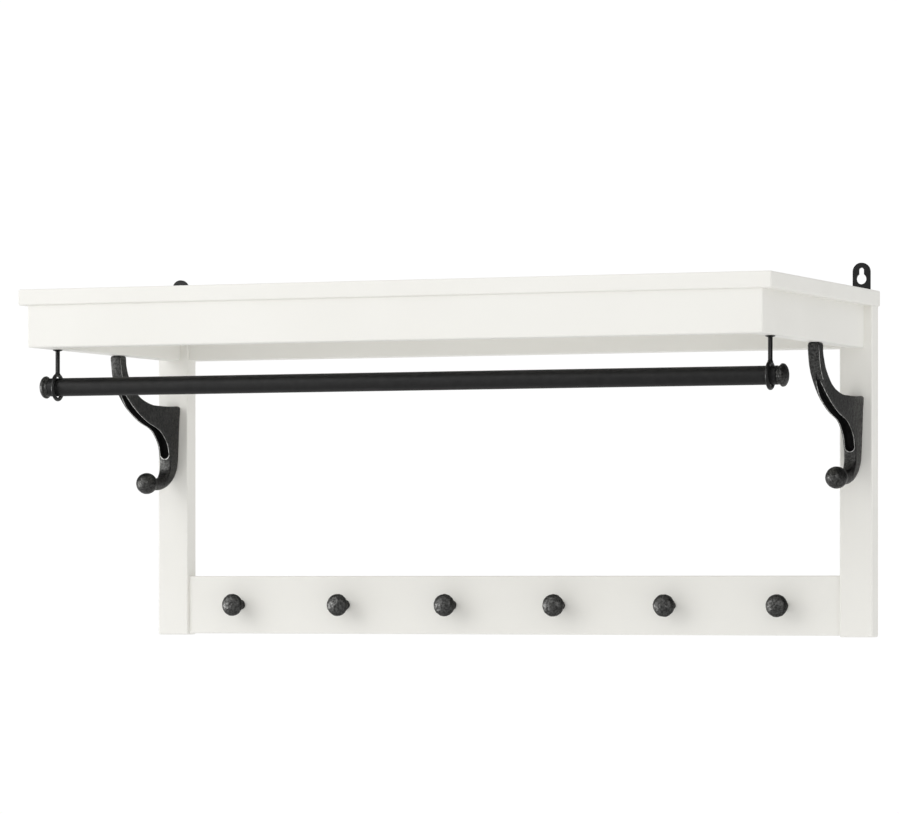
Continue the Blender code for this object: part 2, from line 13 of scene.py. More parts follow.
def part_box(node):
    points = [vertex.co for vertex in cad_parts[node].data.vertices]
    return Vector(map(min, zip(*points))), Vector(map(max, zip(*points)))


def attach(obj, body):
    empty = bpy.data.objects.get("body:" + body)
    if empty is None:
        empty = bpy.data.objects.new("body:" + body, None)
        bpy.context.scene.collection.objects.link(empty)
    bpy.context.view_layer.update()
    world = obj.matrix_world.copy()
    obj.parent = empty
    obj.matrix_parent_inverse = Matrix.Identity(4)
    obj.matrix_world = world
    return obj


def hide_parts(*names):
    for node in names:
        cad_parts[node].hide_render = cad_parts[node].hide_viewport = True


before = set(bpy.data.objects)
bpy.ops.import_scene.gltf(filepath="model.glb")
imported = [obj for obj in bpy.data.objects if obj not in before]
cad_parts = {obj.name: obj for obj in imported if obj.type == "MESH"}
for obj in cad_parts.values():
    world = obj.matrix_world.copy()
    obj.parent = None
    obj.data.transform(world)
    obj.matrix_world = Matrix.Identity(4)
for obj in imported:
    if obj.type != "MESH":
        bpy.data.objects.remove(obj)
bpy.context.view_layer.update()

SIDES = (("left", -1), ("right", 1))
KNOBS = [name for name in sorted(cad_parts) if name.startswith("knob_") and "screw" not in name]
GAP = 0.0003  # the CAD's clearance between pieces, closed here where two boards meet
FORWARD, UP = Vector((0, -1, 0)), Vector((0, 0, 1))

WALL_HEIGHT = 1.62  # the origin above the floor, as the rack hangs
FLOOR_HALF = 18  # metres from the rack to the floor's sides
CAMERA_PLACE = (1.98794, -5.07684, -0.30956)
CAMERA_TURN = math.radians(22.13)
CAMERA_LENS, CAMERA_SENSOR = 196.5, 36
CAMERA_SHIFT = 0.199  # the camera is level, and the rack stands above its middle
BACKDROP_SEEN, BACKDROP_LIT, BACKDROP_MIRRORED = 1.02, 0.86, 0.15  # to the eye, as light, in glossy reflections

# Area lights: name, place, what it faces, size, watts
KEY_LIGHT = ("key", (-2.15, -3.1, 1.5), (-0.1, -0.2, -0.1), (3.0, 2.8), 33.5)
FILL_LIGHT = ("fill", (2.2, -1.0, -1.6), (0.0, -0.2, -0.1), (2.0, 2.0), 10)
GLOSS_LIGHTS = (
    ("sheen", (-2.5, -2.9, 1.6), (0.0, -0.2, -0.2), (3.4, 2.2), 70),
    ("side_sheen", (-3.2, -1.6, -0.5), (0.0, -0.2, -0.2), (2.4, 1.0), 110),
    ("front_sheen", (1.75, -4.3, 0.9), (0.0, -0.2, -0.2), (1.8, 1.4), 55),
)


# Node helpers

class Shader:
    """A material's node tree, with short names for adding and wiring nodes."""

    def __init__(self, name):
        self.material = bpy.data.materials.new(name)
        self.material.use_nodes = True
        self.tree = self.material.node_tree
        self.shader = self.tree.nodes["Principled BSDF"]
        self.place = self.tree.nodes.new("ShaderNodeTexCoord").outputs["Object"]

    def node(self, kind, **values):
        """A node with constants on its inputs, which the keywords name."""
        made = self.tree.nodes.new(kind)
        for key, value in values.items():
            made.inputs[key.replace("_", " ").title()].default_value = value
        return made

    def join(self, output, target):
        self.tree.links.new(output, target)

    def stretched(self, scale):
        mapping = self.tree.nodes.new("ShaderNodeMapping")
        mapping.inputs["Scale"].default_value = scale
        self.join(self.place, mapping.inputs["Vector"])
        return mapping.outputs["Vector"]

    def noise(self, scale, detail=3.0, where=None):
        made = self.node("ShaderNodeTexNoise", scale=scale, detail=detail)
        self.join(where or self.place, made.inputs["Vector"])
        return made.outputs["Fac"]

    def cells(self, scale):
        """The distance from the middles of irregular cells."""
        made = self.node("ShaderNodeTexVoronoi", scale=scale)
        self.join(self.place, made.inputs["Vector"])
        return made.outputs["Distance"]

    def spread(self, value, low, high, start=0.35, end=0.65):
        """Spreads a texture's middle range over low to high."""
        made = self.tree.nodes.new("ShaderNodeMapRange")
        for key, number in (("From Min", start), ("From Max", end), ("To Min", low), ("To Max", high)):
            made.inputs[key].default_value = number
        self.join(value, made.inputs["Value"])
        return made.outputs["Result"]

    def colour(self, value, first, second):
        """The base colour, from first to second as value goes from 0 to 1."""
        made = self.tree.nodes.new("ShaderNodeMix")
        made.data_type = "RGBA"
        colours = [socket for socket in made.inputs if socket.type == "RGBA"]
        colours[0].default_value = (*first, 1)
        colours[1].default_value = (*second, 1)
        self.join(value, made.inputs["Factor"])
        result = next(socket for socket in made.outputs if socket.type == "RGBA")
        self.join(result, self.shader.inputs["Base Color"])

    def bump(self, layers):
        """Bump from (height, millimetres) layers, one on top of another."""
        normal = None
        for height, millimetres in layers:
            made = self.node("ShaderNodeBump", strength=1.0, distance=millimetres / 1000)
            self.join(height, made.inputs["Height"])
            if normal:
                self.join(normal, made.inputs["Normal"])
            normal = made.outputs["Normal"]
        self.join(normal, self.shader.inputs["Normal"])

    def roughness(self, value):
        self.join(value, self.shader.inputs["Roughness"])


def painted_wood(name, grain):
    """Satin white paint over wood whose grain runs along X, Y or Z. The grain only just telegraphs through."""
    made = Shader(name)
    stretch = [5.0 if axis == grain else 90.0 for axis in "XYZ"]
    fibres = made.noise(4.0, 6.0, made.stretched(stretch))
    peel = made.noise(900.0, 2.0)
    cloud = made.noise(7.0, 2.0)
    made.colour(made.spread(cloud, 0, 1), (0.862, 0.852, 0.808), (0.876, 0.867, 0.824))
    made.roughness(made.spread(made.noise(60.0), 0.42, 0.52))
    made.bump([(fibres, 0.05), (peel, 0.008)])
    made.shader.inputs["Specular IOR Level"].default_value = 0.25
    return made.material


def cast_iron(name):
    """Black lacquer on a sand-cast skin: fine grains and pits, a little glossier where it has been handled."""
    made = Shader(name)
    grain = made.noise(560.0, 4.0)
    pits = made.cells(430.0)
    made.colour(made.spread(made.noise(500.0), 0, 1), (0.028, 0.028, 0.027), (0.078, 0.078, 0.076))
    made.roughness(made.spread(made.noise(260.0), 0.34, 0.50))
    made.bump([(grain, 0.20), (pits, 0.10)])
    made.shader.inputs["Metallic"].default_value = 1.0
    return made.material


def painted_shade_iron(name):
    """The hooks' channels, where the lacquer has pooled matt; their near-black colour is a painted shade for the
    recess.
    """
    made = Shader(name)
    made.colour(made.spread(made.noise(500.0), 0, 1), (0.003, 0.003, 0.003), (0.006, 0.006, 0.006))
    made.roughness(made.spread(made.noise(260.0), 0.70, 0.90))
    made.bump([(made.noise(1100.0, 4.0), 0.10)])
    made.shader.inputs["Specular IOR Level"].default_value = 0.15
    return made.material


def painted_highlight_rim(name):
    """The channels' rims and the arm's front edge: lighter metal in patches, a painted highlight for the light
    these edges catch.
    """
    made = Shader(name)
    made.colour(made.spread(made.noise(240.0), 0, 1), (0.25, 0.25, 0.24), (0.68, 0.68, 0.66))
    made.roughness(made.spread(made.noise(260.0), 0.28, 0.45))
    made.bump([(made.noise(1100.0, 4.0), 0.05)])
    made.shader.inputs["Metallic"].default_value = 1.0
    return made.material


def satin_steel(name, smoothest, roughest, gloss):
    """Satin black paint on smooth steel, with a slight orange peel."""
    made = Shader(name)
    made.colour(made.spread(made.noise(120.0), 0, 1), (0.005, 0.005, 0.005), (0.008, 0.008, 0.008))
    made.roughness(made.spread(made.noise(90.0), smoothest, roughest))
    made.bump([(made.noise(700.0, 2.0), 0.012)])
    made.shader.inputs["Specular IOR Level"].default_value = gloss
    return made.material


def zinc(name):
    """Bright zinc plate, a little cloudy."""
    made = Shader(name)
    made.colour(made.spread(made.noise(300.0), 0, 1), (0.50, 0.51, 0.53), (0.64, 0.65, 0.66))
    made.roughness(made.spread(made.noise(500.0), 0.28, 0.42))
    made.bump([(made.noise(900.0), 0.01)])
    made.shader.inputs["Metallic"].default_value = 1.0
    return made.material


def beech(name):
    """Bare dowel wood, with short fibres."""
    made = Shader(name)
    fibres = made.noise(300.0, 5.0)
    made.colour(made.spread(fibres, 0, 1), (0.50, 0.33, 0.18), (0.66, 0.47, 0.29))
    made.roughness(made.spread(fibres, 0.6, 0.8))
    made.bump([(fibres, 0.05)])
    return made.material


# Mesh helpers

def add_mesh(name, bm, finish, smooth=40):
    """A closed mesh as an object, with sharp edges over that many degrees, or none if it is 0."""
    bmesh.ops.recalc_face_normals(bm, faces=bm.faces)
    if bm.calc_volume(signed=True) < 0:
        bmesh.ops.reverse_faces(bm, faces=bm.faces)
    mesh = bpy.data.meshes.new(name)
    bm.to_mesh(mesh)
    bm.free()
    mesh.shade_smooth()
    if smooth:
        mesh.set_sharp_from_angle(angle=math.radians(smooth))
    mesh.materials.append(finish)
    made = bpy.data.objects.new(name, mesh)
    bpy.context.scene.collection.objects.link(made)
    return made


def add_piece(name, bm, finish, node, body="frame", smooth=40):
    """A mesh that stands for the CAD node and moves with the body."""
    made = add_mesh(name, bm, finish, smooth)
    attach(made, body)
    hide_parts(node)
    return made


def cut(target, cutter, operation="DIFFERENCE"):
    """Applies a Boolean with another mesh object, and removes that object."""
    modifier = target.modifiers.new("cut", "BOOLEAN")
    modifier.operation, modifier.solver, modifier.object = operation, "EXACT", cutter
    graph = bpy.context.evaluated_depsgraph_get()
    mesh = bpy.data.meshes.new_from_object(target.evaluated_get(graph))
    target.modifiers.clear()
    target.data = mesh
    bpy.data.objects.remove(cutter)


def weighted(piece):
    """Keeps the shading of flat faces flat beside their rounded edges."""
    piece.modifiers.new("weighted_normals", "WEIGHTED_NORMAL").keep_sharp = True


def displaced(piece, kind, size, depth, seed):
    """Real relief from one of Blender's procedural textures, taken from a place of its own for each seed."""
    texture = bpy.data.textures.new(f"{piece.name}_{kind.lower()}_{seed}", kind)
    texture.noise_scale = size
    modifier = piece.modifiers.new(f"{kind.lower()}_relief", "DISPLACE")
    modifier.texture, modifier.strength, modifier.mid_level = texture, depth, 0.5
    modifier.texture_coords = "OBJECT"
    spot = bpy.data.objects.new(f"{piece.name}_relief_{seed}", None)
    spot.location = (seed * 0.137, seed * 0.071, seed * 0.053)
    bpy.context.scene.collection.objects.link(spot)
    modifier.texture_coords_object = spot


def plank_mesh(low, high, radius, square=()):
    """A box whose edges are rounded, except those of the faces named in square, such as "+Y"."""
    bm = bmesh.new()
    place = Matrix.Translation((low + high) / 2) @ Matrix.Diagonal((*(high - low), 1))
    bmesh.ops.create_cube(bm, size=1, matrix=place)
    ways = []
    for sign, name in square:
        ways.append(Vector([(1 if sign == "+" else -1) * (axis == name) for axis in "XYZ"]))
    rounded = []
    for edge in bm.edges:
        if not any(face.normal.dot(way) > 0.9 for face in edge.link_faces for way in ways):
            rounded.append(edge)
    bmesh.ops.bevel(bm, geom=rounded, offset=radius, segments=EDGE_STEPS, profile=0.5, affect="EDGES")
    return bm


def rings_to_mesh(rings, closed=False):
    """Skins rows of points. A row of one point is a pole."""
    bm = bmesh.new()
    rows = [[bm.verts.new(point) for point in ring] for ring in rings]
    pairs = list(zip(rows, rows[1:]))
    if closed:
        pairs.append((rows[-1], rows[0]))
    for first, second in pairs:
        count = max(len(first), len(second))
        for step in range(count):
            after = (step + 1) % count
            corners = [first[step % len(first)], first[after % len(first)]]
            corners += [second[after % len(second)], second[step % len(second)]]
            bm.faces.new(list(dict.fromkeys(corners)))
    return bm


def lathe(profile, start, direction, steps):
    """Turns (radius, distance) pairs about the line from start along direction. Radius 0 is a pole."""
    turn = UP.rotation_difference(Vector(direction)).to_matrix()
    rings = []
    for radius, distance in profile:
        angles = [2 * math.pi * step / steps for step in range(steps)] if radius else [0]
        ring = [Vector((radius * math.cos(a), radius * math.sin(a), distance)) for a in angles]
        rings.append([turn @ point + Vector(start) for point in ring])
    return rings_to_mesh(rings)


def through(points, spans):
    """Points along a smooth curve through the given ones (Catmull-Rom), with spans to each stretch."""
    points = [Vector(point) for point in points]
    ends = [2 * points[0] - points[1], *points, 2 * points[-1] - points[-2]]
    curve = []
    for before, start, end, after in zip(ends, ends[1:], ends[2:], ends[3:]):
        for step in range(spans):
            t = step / spans
            pull = 2 * before - 5 * start + 4 * end - after
            bend = 3 * start - before - 3 * end + after
            curve.append(0.5 * (2 * start + (end - before) * t + pull * t**2 + bend * t**3))
    return [*curve, points[-1]]


def arc(centre, radius, start, end, steps):
    """Points from one angle to another, in degrees."""
    angles = [math.radians(start + (end - start) * step / steps) for step in range(steps + 1)]
    return [(centre[0] + radius * math.cos(a), centre[1] + radius * math.sin(a)) for a in angles]


def slab(outline, front, back):
    """An outline of (x, z) points as a plate between two Y."""
    bm = bmesh.new()
    rows = [[bm.verts.new((x, y, z)) for x, z in outline] for y in (front, back)]
    count = len(outline)
    for step in range(count):
        after = (step + 1) % count
        bm.faces.new((rows[0][step], rows[0][after], rows[1][after], rows[1][step]))
    bm.faces.new(rows[0])
    bm.faces.new(rows[1])
    return bm


def middle_of(node):
    low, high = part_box(node)
    return (low + high) / 2


# Painted wood

ARRIS = 0.0018  # rounding of the boards' edges
EDGE_STEPS = 4
NOTCH_MARGIN = Vector((0.0008, 0, 0.0008))  # round a hanger plate
BEYOND = 0.01  # how far a notch's cutter stands out of the wood
SINK_RIM = 0.0004  # a countersink is this much larger than its screw head
SINK_FROM, SINK_WALL, SINK_END = -0.003, 0.0009, 0.0040  # its depths: outside the wood, end of the wall, point
SINK_TIP = 0.45  # the share of its radius at its end

def add_woodwork(paints):
    """Each board from its node's box, longer by the clearance where it meets a neighbour. The screw heads'
    countersinks and the hanger plates' notches are cut."""
    boards = (
        ("top_board", "X", (), ()),
        ("front_fascia", "X", ("+Y", "+Z"), ("+Z",)),
        ("upper_back_rail", "X", ("+X", "-X"), ("+X", "-X", "+Z")),
        ("lower_back_rail", "X", ("+X", "-X"), ("+X", "-X")),
        *[(f"post_{side}", "Z", ("+Z",), ("+Z",)) for side, _ in SIDES],
        *[(f"side_rail_{side}", "Y", ("+Y", "-Y", "+Z"), ("+Y", "-Y", "+Z")) for side, _ in SIDES],
    )
    made = {}
    for node, grain, square, reach in boards:
        low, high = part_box(node)
        for face in reach:
            axis = "XYZ".index(face[1])
            if face[0] == "+":
                high[axis] += GAP
            else:
                low[axis] -= GAP
        bm = plank_mesh(low, high, ARRIS, square)
        made[node] = add_piece(f"painted_{node}", bm, paints[grain], node)
    for side, _ in SIDES:
        low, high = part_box(f"hanger_plate_{side}")
        low = low - NOTCH_MARGIN - Vector((0, GAP, 0))
        high = high + NOTCH_MARGIN + Vector((0, BEYOND, BEYOND))
        for node in ("top_board", f"post_{side}"):
            cut(made[node], add_mesh("recess", plank_mesh(low, high, 0.0004), paints["X"]))
    screws = [(f"knob_screw_{index + 1}", "lower_back_rail") for index in range(len(KNOBS))]
    for side, _ in SIDES:
        screws += [(f"hook_bolt_{side}_{place}", f"post_{side}") for place in ("upper", "lower")]
        screws.append((f"side_rail_screw_{side}", f"post_{side}"))
    for screw, node in screws:
        low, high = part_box(screw)
        radius, centre = (high.x - low.x) / 2 + SINK_RIM, middle_of(screw)
        profile = [(0, SINK_FROM), (radius, SINK_FROM), (radius, SINK_WALL)]
        profile += [(radius * SINK_TIP, SINK_END), (0, SINK_END)]
        bm = lathe(profile, (centre.x, high.y, centre.z), FORWARD, 28)
        cut(made[node], add_mesh("countersink", bm, paints["X"]))
    for piece in made.values():
        weighted(piece)


# Cast hook brackets

# Sections from the top of the arm to the ball: front edge (reach from the post's face, height above the
# post's foot), back edge (reach, height), half width in front, half width at the back, corner rounding.
HOOK_SECTIONS = (
    (0.1462, 0.3107, 0.1365, 0.3107, 0.0044, 0.0044, 0.0010),
    (0.1478, 0.3100, 0.1349, 0.3101, 0.0058, 0.0058, 0.0010),
    (0.1484, 0.3080, 0.1343, 0.3085, 0.0064, 0.0063, 0.0010),
    (0.1483, 0.3050, 0.1341, 0.3058, 0.0065, 0.0064, 0.0010),
    (0.1470, 0.2985, 0.1333, 0.3000, 0.0065, 0.0064, 0.0010),
    (0.1448, 0.2898, 0.1305, 0.2935, 0.0065, 0.0064, 0.0010),
    (0.1408, 0.2810, 0.1262, 0.2872, 0.0064, 0.0063, 0.0010),
    (0.1338, 0.2726, 0.1203, 0.2813, 0.0064, 0.0062, 0.0010),
    (0.1242, 0.2637, 0.1110, 0.2740, 0.0063, 0.0062, 0.0010),
    (0.1111, 0.2541, 0.1000, 0.2672, 0.0062, 0.0064, 0.0010),
    (0.0950, 0.2461, 0.0850, 0.2622, 0.0062, 0.0068, 0.0010),
    (0.0749, 0.2385, 0.0660, 0.2588, 0.0063, 0.0073, 0.0010),
    (0.0536, 0.2333, 0.0460, 0.2583, 0.0064, 0.0080, 0.0010),
    (0.0427, 0.2290, 0.0230, 0.2583, 0.0066, 0.0086, 0.0010),
    (0.0361, 0.2244, 0.0003, 0.2583, 0.0068, 0.0089, 0.0010),
    (0.0303, 0.2196, 0.0003, 0.2460, 0.0069, 0.0085, 0.0010),
    (0.0258, 0.2138, 0.0003, 0.2340, 0.0070, 0.0081, 0.0010),
    (0.0231, 0.2065, 0.0003, 0.2220, 0.0070, 0.0077, 0.0012),
    (0.0217, 0.1990, 0.0003, 0.2100, 0.0070, 0.0074, 0.0014),
    (0.0216, 0.1920, 0.0006, 0.1985, 0.0069, 0.0071, 0.0018),
    (0.0232, 0.1862, 0.0028, 0.1868, 0.0068, 0.0069, 0.0024),
    (0.0270, 0.1814, 0.0100, 0.1770, 0.0067, 0.0068, 0.0034),
    (0.0318, 0.1784, 0.0207, 0.1692, 0.0067, 0.0067, 0.0046),
    (0.0385, 0.1771, 0.0337, 0.1644, 0.0065, 0.0065, 0.0056),
    (0.0455, 0.1768, 0.0450, 0.1632, 0.0062, 0.0062, 0.0059),
    (0.0535, 0.1766, 0.0545, 0.1636, 0.0060, 0.0060, 0.0058),
    (0.0605, 0.1750, 0.0615, 0.1660, 0.0044, 0.0044, 0.0042),
)
HOOK_STEPS = 8  # loops to each section
LEAST_STEP = 0.00012  # between two loops
FLANK_STEPS = 10
CORNER_ANGLES = [math.radians(22.5 * step) for step in range(5)]
GROOVE_TOP, GROOVE_FOOT = 0.2790, 0.1985  # heights between which the front face is channelled
GROOVE_DEPTH = 0.0080
GROOVE_FULL = 0.0022  # the half width, less THIN, from which the channel has its whole depth
GROOVE_RIM = 0.0016  # the channel's first stretch, whose rims are too fine to take the painted highlight
GROOVE_TAPER = 0.040  # length over which the channel grows from its pointed upper end
GROOVE_TIP = 0.010  # the channel's first stretch, whose rims are too fine to wear
GROOVE_POINT, GROOVE_END = 0.008, 0.0054  # stretches with more loops, at its pointed and its round end
GROOVE_EDGE = 0.0006  # width of the channel's rim, which takes the painted highlight
# The channel's floor and wall from its edge to its middle, as shares of its half width and of its depth
GROOVE_SHAPE = ((1.0, 0.0), (0.95, 0.05), (0.88, 0.60), (0.78, 0.92), (0.5, 1.0), (0.0, 1.0))
ARRIS_START = 0.004  # from the arm's top to where its front edge takes the painted highlight
# Columns of faces round a section, counted from the left edge of the front face
GROOVE_COLUMNS = range(3, 11)
RIM_COLUMNS = (1, 2, 11, 12)
ARRIS_COLUMN = 15  # the middle of the right-hand edge
PAINTED_SHADE_SLOT, PAINTED_HIGHLIGHT_SLOT = 1, 2  # slots of a hook's materials: painted shade in the channel, painted highlight on its rims and front edge
THIN = 0.0002  # the least half width of a column of faces
BALL_REACH, BALL_HEIGHT, BALL_RADIUS = 0.0688, 0.1704, 0.0119


def channel_width(travelled, total, width):
    """The half width of a channel that is pointed above and round below. travelled is from its upper end."""
    if not 0 < travelled < total:
        return THIN
    point = min(1.0, travelled / GROOVE_TAPER) ** 0.6
    end = math.sqrt(1 - max(0.0, 1 - (total - travelled) / width) ** 2)
    return max(THIN, width * min(point, end))


def hook_stations(places, start, end):
    """Distances along a hook at which it has a loop: its sections' own, and more at the channel's ends."""
    extra = [end - GROOVE_END * (1 - math.sin(math.radians(angle))) for angle in range(10, 90, 8)]
    extra += [end + GROOVE_EDGE * share for share in (0.0, 0.5, 1.0)]
    extra += [start + GROOVE_POINT * (1 - math.cos(math.radians(angle))) for angle in range(10, 90, 10)]
    stations = sorted([*places, *extra])
    return [one for one, after in zip(stations, [*stations[1:], math.inf]) if after - one > LEAST_STEP]


def hook_outline(half_front, half_back, rounding, depth, width, reach, sink):
    """A cross-section as (across, deep) points: the front face from its left edge, with the channel in it, the
    right flank, the back and the left flank. reach is the half width over the channel's rims."""
    face = [(half_front - rounding, 0.0), (max(width, reach) + THIN / 4, 0.0)]
    face += [(width * side, sink * down) for side, down in GROOVE_SHAPE]
    right = []
    for angle in CORNER_ANGLES[1:]:
        across = half_front - rounding + rounding * math.sin(angle)
        right.append((across, rounding - rounding * math.cos(angle)))
    for step in range(1, FLANK_STEPS):
        part = step / FLANK_STEPS
        across = half_front + (half_back - half_front) * part
        right.append((across, rounding + (depth - 2 * rounding) * part))
    for angle in CORNER_ANGLES:
        across = half_back - rounding + rounding * math.cos(angle)
        right.append((across, depth - rounding + rounding * math.sin(angle)))
    front = [(-across, deep) for across, deep in face[:-1]] + face[::-1]
    return [*front, *right, (0.0, depth), *[(-across, deep) for across, deep in reversed(right)]]


def hook_loops():
    """Closed cross-sections from the top of the arm, and for each one whether the channel's rims take the
    painted highlight there, and whether the arm's front edge does."""
    rows = through(HOOK_SECTIONS, HOOK_STEPS)
    places = [0.0]
    for first, second in zip(rows, rows[1:]):
        places.append(places[-1] + math.hypot(second[0] - first[0], second[1] - first[1]))
    in_groove = [place for place, row in zip(places, rows) if GROOVE_FOOT < row[1] < GROOVE_TOP]
    start, end = in_groove[0], in_groove[-1]
    loops, marks = [], []
    for station in hook_stations(places, start, end):
        index = max(0, min(len(rows) - 2, sum(place <= station for place in places) - 1))
        share = (station - places[index]) / (places[index + 1] - places[index])
        row = rows[index].lerp(rows[index + 1], share)
        front, back, half_front, half_back = row[0:2], row[2:4], row[4], row[5]
        depth = math.hypot(back[0] - front[0], back[1] - front[1])
        rounding = min(row[6], depth / 2.05, half_front * 0.95)
        travelled, total, half = station - start, end - start, half_front - GROOVE_RIM
        width = channel_width(travelled, total, half)
        reach = channel_width(travelled + GROOVE_EDGE, total + 2 * GROOVE_EDGE, half + GROOVE_EDGE)
        fade = max(0.0, min(1.0, travelled / GROOVE_TAPER)) ** 0.7
        sink = GROOVE_DEPTH * min(fade, (width - THIN) / GROOVE_FULL)
        outline = hook_outline(half_front, half_back, rounding, depth, width, reach, sink)
        inward = Vector((back[0] - front[0], back[1] - front[1])) / depth
        loop = [(across, front[0] + inward.x * deep, front[1] + inward.y * deep) for across, deep in outline]
        loops.append(loop)
        in_rims = travelled > GROOVE_TIP and reach > 1.5 * THIN
        marks.append((in_rims, ARRIS_START < station < start + GROOVE_TIP))
    return loops, marks


def add_hooks(iron, channel_iron, painted_highlight_iron):
    """Each hook is skinned from its loops, with the ball at its end joined on."""
    loops, marks = hook_loops()
    for side, _ in SIDES:
        node = f"hook_bracket_{side}"
        centre = middle_of(node).x
        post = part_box(f"post_{side}")[0]
        rings = []
        for loop in loops:
            rings.append([Vector((centre + x, post.y - reach, post.z + height)) for x, reach, height in loop])
        bm = rings_to_mesh(rings)
        bm.verts.ensure_lookup_table()
        count = len(rings[0])
        for index, part in enumerate(bm.faces):
            row, column = divmod(index, count)
            rim, arris = (all(mark) for mark in zip(*marks[row : row + 2]))
            # Faces in the channel take the painted shade material, and those on its rims and the arm's front
            # edge the painted highlight.
            if rim and column in GROOVE_COLUMNS:
                part.material_index = PAINTED_SHADE_SLOT
            elif rim and column in RIM_COLUMNS or arris and column == ARRIS_COLUMN:
                part.material_index = PAINTED_HIGHLIGHT_SLOT
        bm.faces.new(bm.verts[:count])
        bm.faces.new(bm.verts[-count:])
        hook = add_piece(f"cast_hook_{side}", bm, iron, node, smooth=50)
        hook.data.materials.append(channel_iron)
        hook.data.materials.append(painted_highlight_iron)
        ball = bmesh.new()
        place = Matrix.Translation((centre, post.y - BALL_REACH, post.z + BALL_HEIGHT))
        place @= Matrix.Rotation(1.5708, 4, "X")
        bmesh.ops.create_uvsphere(ball, u_segments=56, v_segments=40, radius=BALL_RADIUS, matrix=place)
        cut(hook, add_mesh("ball", ball, iron, smooth=0), "UNION")
        displaced(hook, "CLOUDS", 0.0045, 0.00030, 1)


# Hammered knobs, clothes rail and screw eyes. A profile's pairs are (radius, distance).

KNOB_FOOT = ((0, 0), (0.0035, 0), (0.0051, 0), (0.0055, 0.0005))
KNOB_NECK = (
    (0.0055, 0.0018),
    (0.0046, 0.0030),
    (0.0041, 0.0062),
    (0.0043, 0.0105),
    (0.0056, 0.0146),
    (0.0084, 0.0186),
    (0.0113, 0.0212),
)
KNOB_RIM = ((0.0003, 0.0073), (0.0, 0.0066))  # short of the full radius, and below the dome's top
KNOB_DOME = 0.0060  # height of the dome, as below
FINIAL_COVE = ((0.0099, 0.0089), (0.0105, 0.0077))  # radius, and distance below the dome's top
FINIAL_RIM = ((0.0005, 0.0068), (0.0, 0.0060))
FINIAL_DOME = 0.0053
DOME_SETBACK = 0.0001  # a dome's edge stands this far in from the rim
TUBE_WALL, TUBE_EDGE = 0.0012, 0.00035
PLUG_CLEARANCE = 0.0003  # between a cap's plug and the tube's bore
COLLAR_STEP = 0.0002  # from the tube's outside down to the cap's collar
EYE_WIRE, EYE_TURN = 0.0021, math.radians(3)
EYE_SHANK, EYE_COLLAR = 0.0024, 0.0052  # radii
EYE_AROUND, EYE_SECTION = 72, 20  # steps
EYE_SUNK, EYE_POINT = 0.020, 0.026  # how far the shank and its point go into the wood


def dome(radius, base, top, steps):
    """A profile's quarter ellipse from just inside its rim to just before its pole."""
    angles = [math.pi / 2 * step / steps for step in range(steps)]
    return [(radius * math.cos(angle), base + (top - base) * math.sin(angle)) for angle in angles]


def add_knobs(iron):
    """Foot flange, waisted stem, thin rim and shallow dome, with hammer marks on the head."""
    for index, node in enumerate(KNOBS):
        low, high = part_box(node)
        centre = (low + high) / 2
        rim, reach = (high.x - low.x) / 2, high.y - low.y
        profile = [*KNOB_FOOT, *through(KNOB_NECK, 5)]
        profile += [(rim - inset, reach - below) for inset, below in KNOB_RIM]
        profile += dome(rim - DOME_SETBACK, reach - KNOB_DOME, reach, 14)
        bm = lathe([*profile, (0, reach)], (centre.x, high.y, centre.z), FORWARD, 64)
        knob = add_piece(f"hammered_knob_{index + 1}", bm, iron, node, smooth=60)
        displaced(knob, "VORONOI", 0.0036, 0.0007, index + 2)


def add_clothes_rail(lacquer, iron):
    """The tube and its two end caps, each with a plug, a collar, a cove and a shallow dome."""
    low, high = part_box("rail_tube")
    axis = (low + high) / 2
    outer, half = (high.z - low.z) / 2, (high.x - low.x) / 2
    inner = outer - TUBE_WALL
    profile = [(inner, -half), (outer - TUBE_EDGE, -half), (outer, TUBE_EDGE - half)]
    profile += [(outer, half - TUBE_EDGE), (outer - TUBE_EDGE, half), (inner, half)]
    steps = 72
    angles = [2 * math.pi * step / steps for step in range(steps)]
    rings = []
    for radius, distance in profile:
        rings.append([axis + Vector((distance, radius * math.cos(a), radius * math.sin(a))) for a in angles])
    bm = rings_to_mesh(rings, closed=True)
    add_piece("lacquered_tube", bm, lacquer, "rail_tube", "rail_tube", 30)
    for side, sign in SIDES:
        node = f"rail_finial_{side}"
        low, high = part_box(node)
        rim, length = (high.z - low.z) / 2, high.x - low.x
        inner_end = low.x if sign > 0 else high.x
        plug, collar = inner - PLUG_CLEARANCE, outer - COLLAR_STEP
        shoulder = half + GAP - min(abs(low.x), abs(high.x))
        cove = [(collar, shoulder + 0.0008)]
        cove += [(radius, length - below) for radius, below in FINIAL_COVE]
        cove += [(rim - inset, length - below) for inset, below in FINIAL_RIM]
        cove.append((rim - DOME_SETBACK, length - FINIAL_DOME))
        profile = [(0, 0), (plug - 0.001, 0), (plug, 0.001), (plug, shoulder), (collar - 0.0003, shoulder)]
        profile += [(collar, shoulder + 0.0003), *through(cove, 4)]
        profile += dome(rim - DOME_SETBACK, length - FINIAL_DOME, length, 10)[1:]
        bm = lathe([*profile, (0, length)], (inner_end, axis.y, axis.z), (sign, 0, 0), 64)
        finial = add_piece(f"cast_finial_{side}", bm, iron, node, "rail_ends", 50)
        displaced(finial, "CLOUDS", 0.0040, 0.00018, 11)


